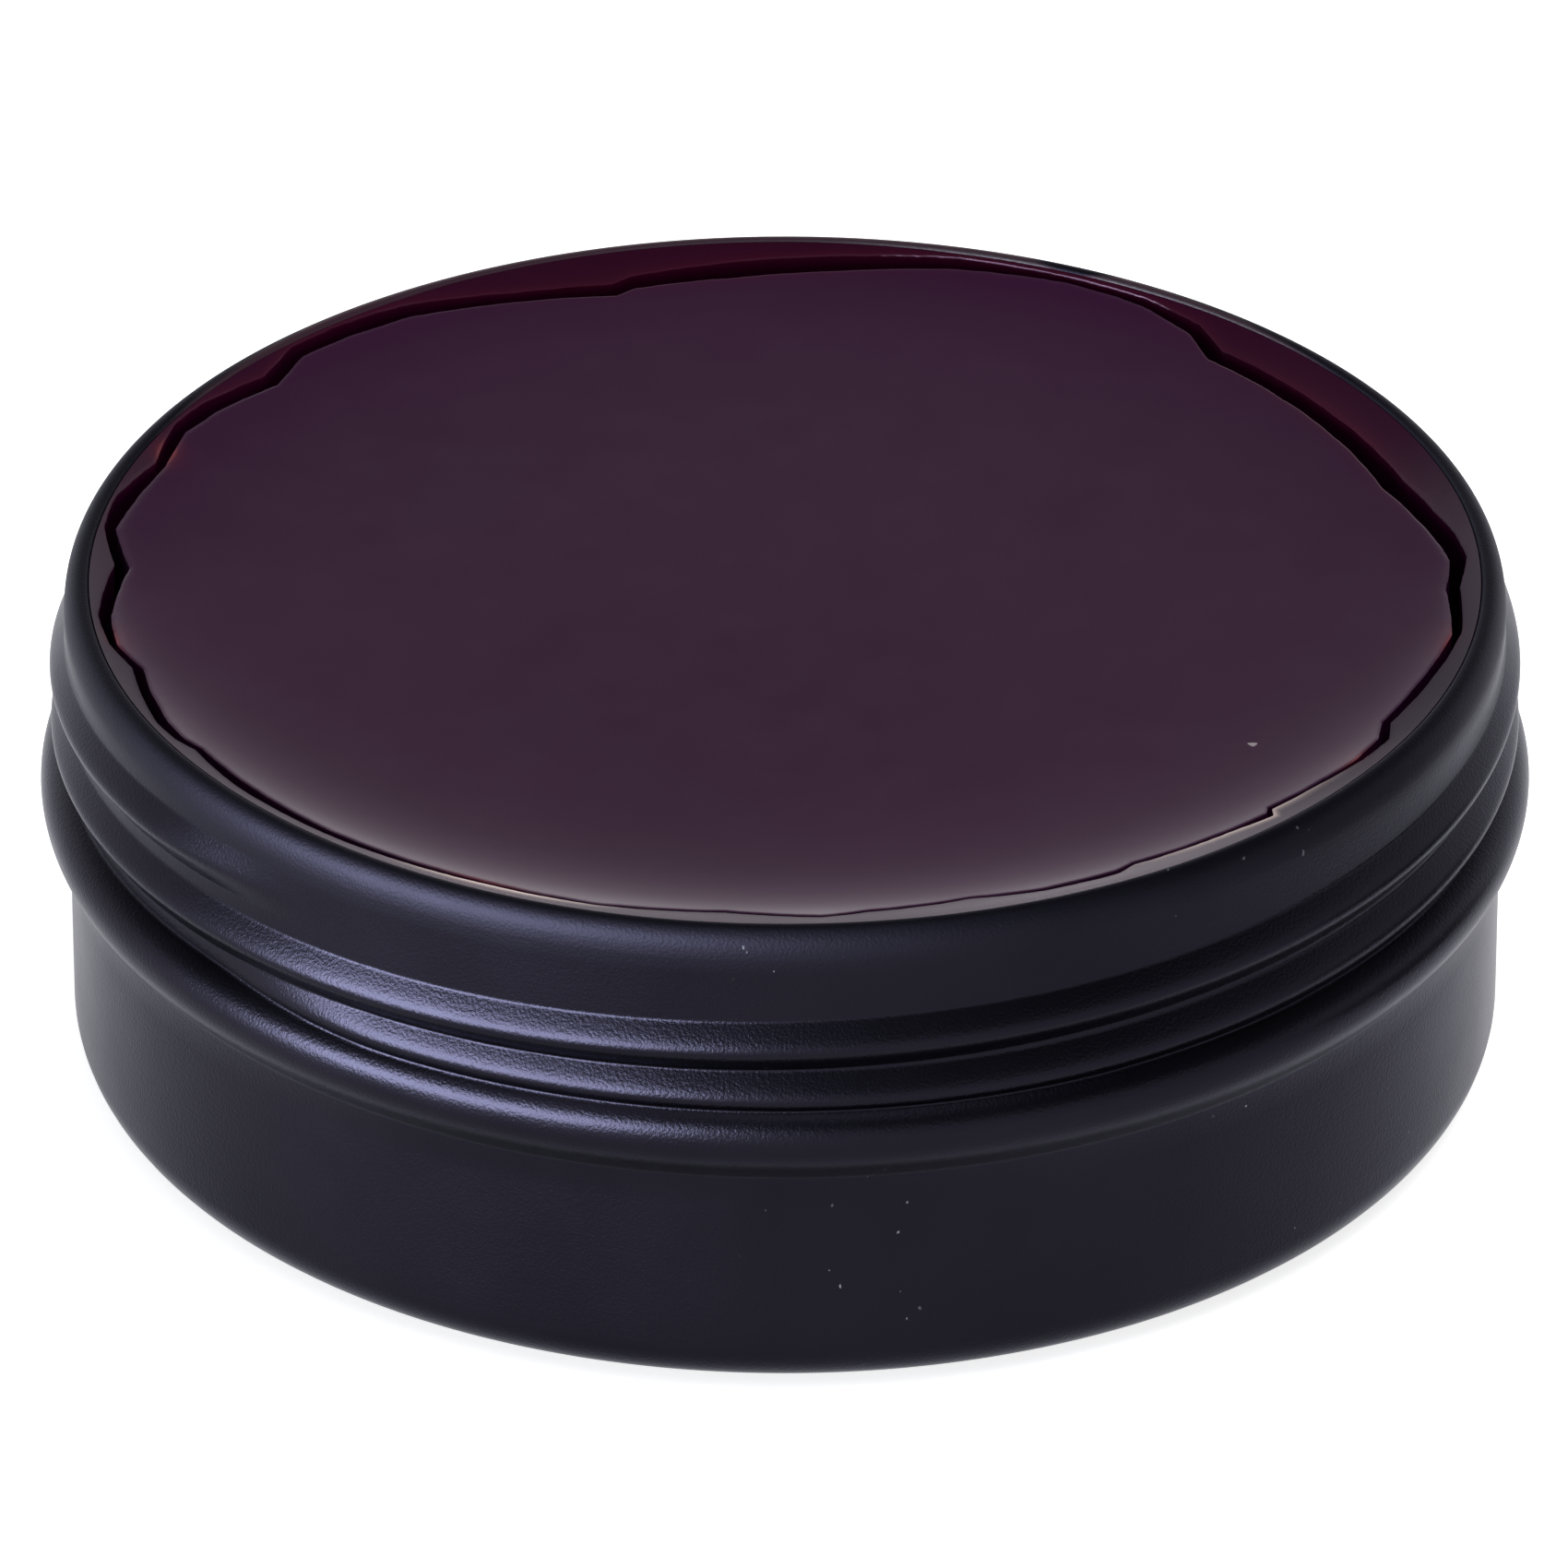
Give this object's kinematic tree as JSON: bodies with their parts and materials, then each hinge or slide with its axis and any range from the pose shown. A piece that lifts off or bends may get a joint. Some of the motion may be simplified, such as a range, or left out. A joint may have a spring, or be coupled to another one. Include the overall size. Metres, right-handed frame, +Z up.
{
  "type": "shoe polish tin",
  "caption": "Round screw-top metal tin of wax polish, open, with a hemmed rim, rolled thread and stop bead, and its lid laid upside down beside it.",
  "frame": {"origin": "centre of the tin's base, on the table", "axes": "+Z up along the tin's axis, -Y towards the front, +X towards the lid lying beside the tin"},
  "size_m": [0.1861, 0.075, 0.026],
  "materials": {
    "coated_tin": "satin black with a blue tinge over thin sheet metal",
    "coated_lid": "satin black with a blue tinge over thin sheet metal",
    "polish": "dark burgundy wax, glossy",
    "liner": "white foam sealing disc, matt"
  },
  "bodies": {
    "tin": {"can_body": "coated_tin", "polish_cake": "polish", "polish_crust": "polish"},
    "lid": {"lid_shell": "coated_lid", "lid_liner": "liner"}
  },
  "joints": [
    {"name": "lid_lift", "type": "slide", "parent": "tin", "child": "lid", "axis": [0, 0, 1], "range_m": [0, 0.05]}
  ]
}
